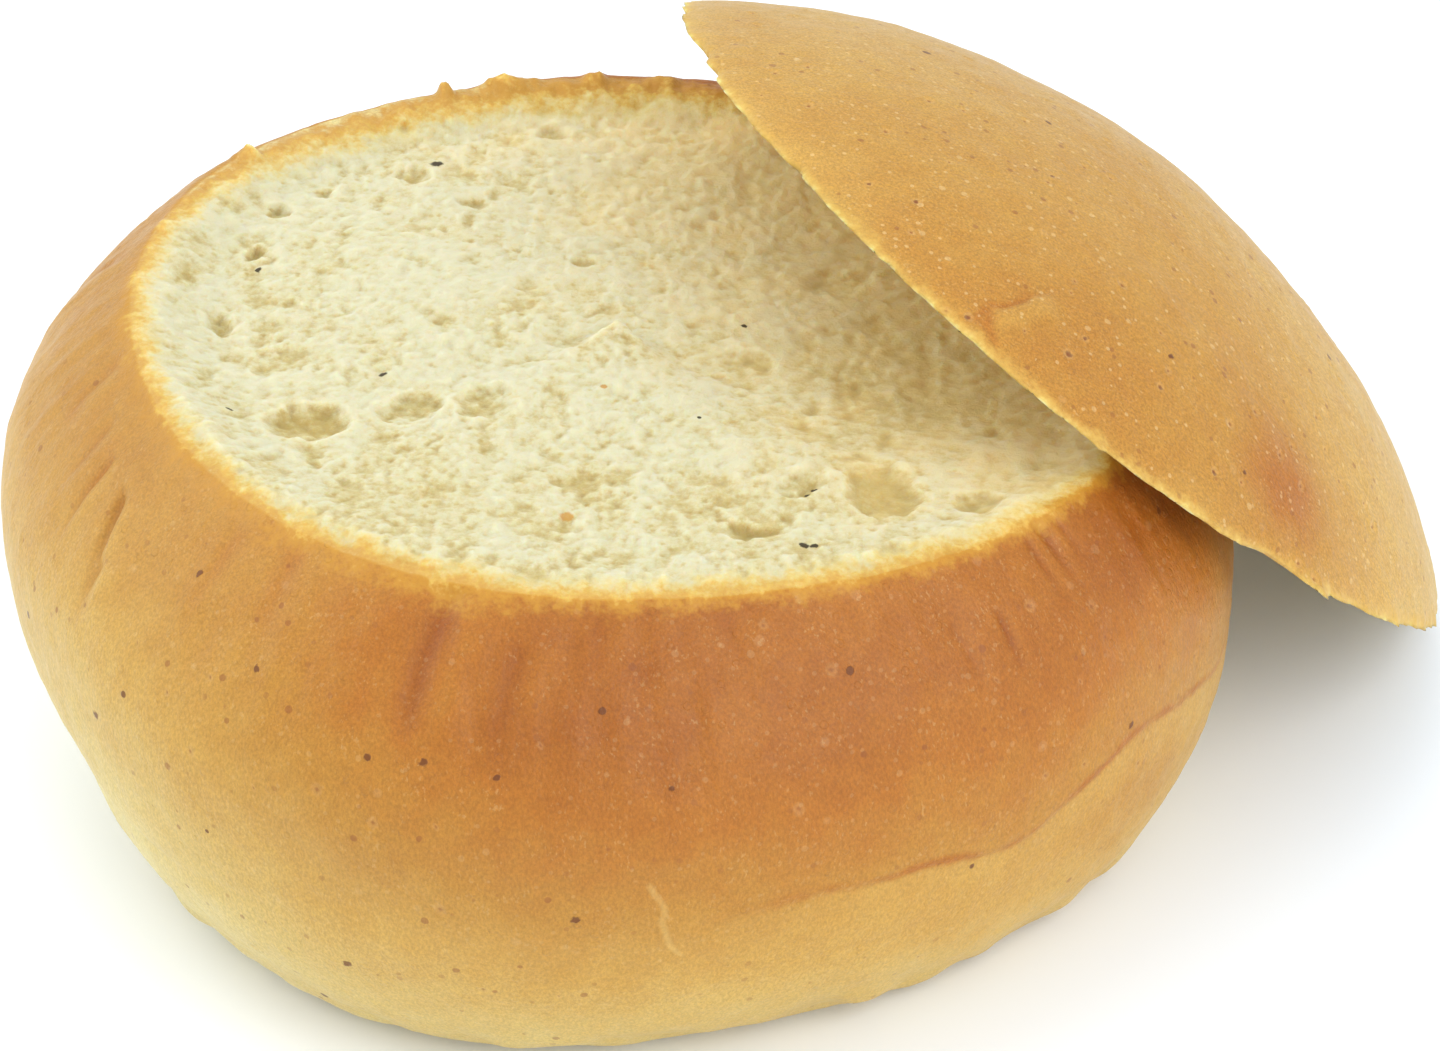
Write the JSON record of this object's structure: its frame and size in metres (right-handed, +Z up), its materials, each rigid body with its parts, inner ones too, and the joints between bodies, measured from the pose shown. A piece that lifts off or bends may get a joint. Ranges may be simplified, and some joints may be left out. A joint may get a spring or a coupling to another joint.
{
  "type": "bread roll",
  "caption": "Round soft bread roll with its top sliced off: open base showing white crumb, and the scooped lid leaning on the base's rim.",
  "frame": {"origin": "middle of the base's flat underside, on the surface the roll stands on", "axes": "+Z up through the cut crumb; +X towards the side where the lid leans; +Y towards the back, the side the lid's upper edge reaches over"},
  "size_m": [0.1546, 0.1422, 0.0726],
  "materials": {
    "base_bread": "baked golden crust outside, cream crumb on the cut",
    "lid_bread": "baked golden crust outside, cream crumb on the cut"
  },
  "bodies": {
    "root": {"roll_base": "base_bread", "roll_lid": "lid_bread"}
  },
  "joints": []
}
